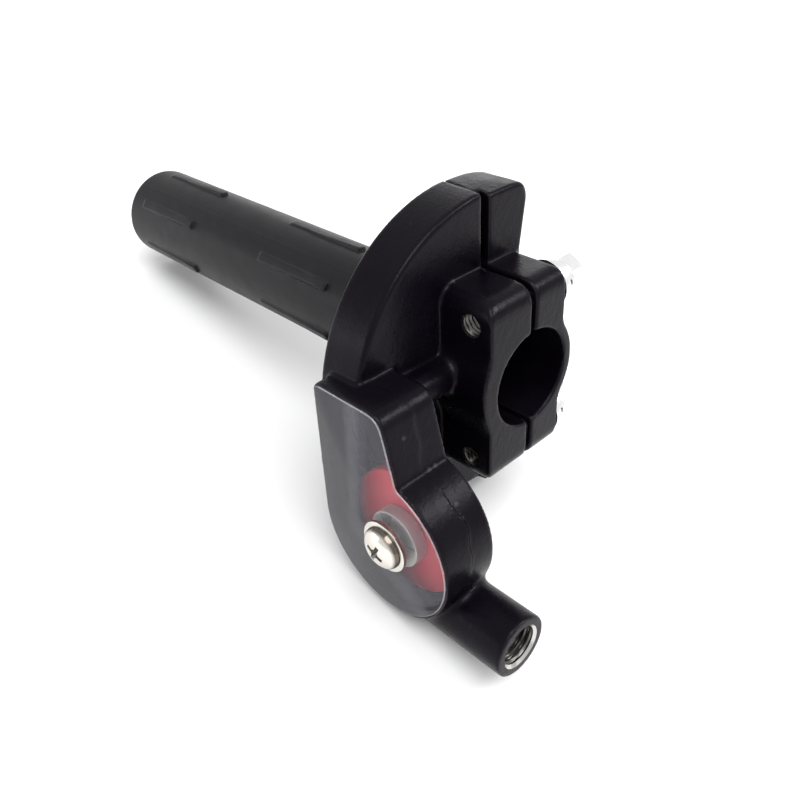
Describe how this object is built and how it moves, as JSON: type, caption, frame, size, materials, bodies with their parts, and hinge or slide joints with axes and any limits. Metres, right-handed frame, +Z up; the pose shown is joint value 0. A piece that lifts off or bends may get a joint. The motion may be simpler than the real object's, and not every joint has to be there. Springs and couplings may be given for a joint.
{
  "type": "motorcycle throttle twist grip assembly",
  "caption": "Quick-action twist throttle: split cast bar clamp and drum housing, ribbed twist tube, windowed arm with cable roller and threaded cable outlet.",
  "frame": {"origin": "on the handlebar axis, in the inboard face of the bar clamp", "axes": "+X inboard along the handlebar (the twist tube runs to -X), -Y to the front where the window faces, +Z up"},
  "size_m": [0.1752, 0.0636, 0.082],
  "materials": {
    "cast_black": "satin black coated die casting",
    "tube_plastic": "satin moulded nylon",
    "bright_zinc": "bright zinc plate",
    "nickel": "polished nickel plate",
    "clear_window": "clear polycarbonate sheet",
    "red_nylon": "moulded red nylon",
    "bush_alloy": "turned"
  },
  "bodies": {
    "housing": {"front_housing": "cast_black", "rear_cap": "cast_black", "clamp_bolts": "bright_zinc", "plain_washers": "bright_zinc", "spring_washers": "bright_zinc", "window_cover": "clear_window", "window_screw": "nickel", "screw_washer": "nickel", "roller_bush": "bush_alloy"},
    "twist_tube": {"throttle_tube": "tube_plastic"},
    "roller": {"cable_roller": "red_nylon"}
  },
  "joints": [
    {"name": "throttle_twist", "type": "hinge", "parent": "housing", "child": "twist_tube", "pos_m": [0, 0, 0], "axis": [-1, 0, 0], "range_deg": [0, 66]},
    {"name": "roller_spin", "type": "hinge", "parent": "housing", "child": "roller", "pos_m": [-0.0036, -0.0332, -0.0217], "axis": [0, -1, 0], "continuous": true}
  ]
}
